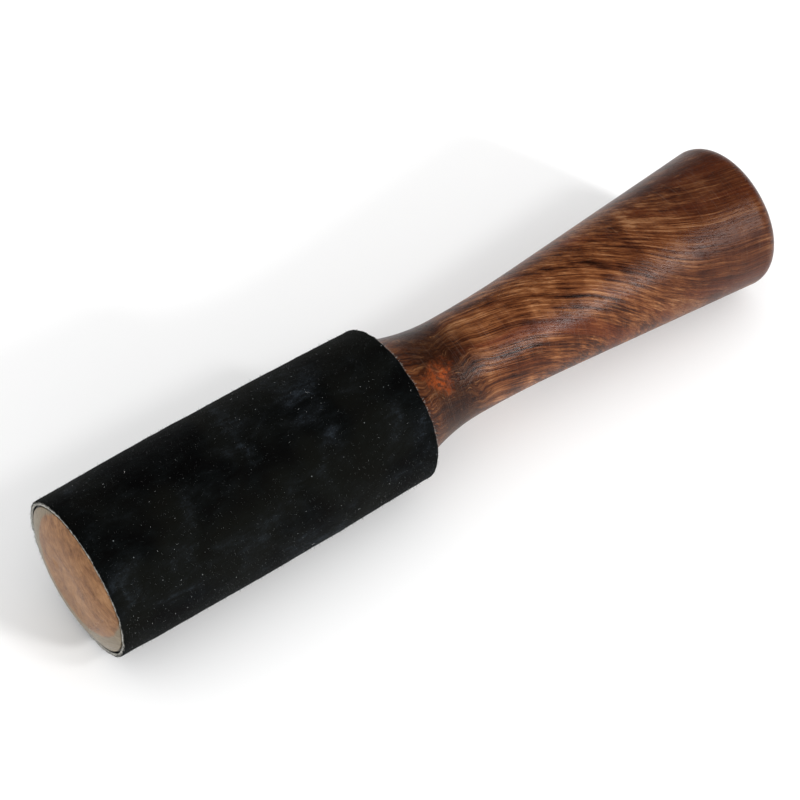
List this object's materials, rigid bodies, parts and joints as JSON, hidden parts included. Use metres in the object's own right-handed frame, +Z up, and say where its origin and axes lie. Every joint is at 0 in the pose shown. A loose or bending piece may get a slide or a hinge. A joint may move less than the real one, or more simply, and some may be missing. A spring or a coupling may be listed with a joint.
{
  "type": "singing bowl mallet",
  "caption": "Turned wooden hand mallet: a straight head wrapped in glued black suede, a narrow neck and a handle that flares to a rounded butt.",
  "frame": {"origin": "bottom centre of the bounding box, on the surface the mallet lies on", "axes": "+X along the mallet from the wrapped head to the butt, +Z up; the axis leans 0.68 degrees butt down, because head and butt both touch the surface"},
  "size_m": [0.183, 0.038, 0.0382],
  "materials": {
    "turned_wood": "polished reddish-brown hardwood with a figured grain, under a thin clear finish",
    "glue": "dried contact adhesive, dull brown",
    "suede": "black suede with a short nap and pale grey cut edges"
  },
  "bodies": {
    "root": {"wood_body": "turned_wood", "glue_film": "glue", "suede_wrap": "suede"}
  },
  "joints": []
}
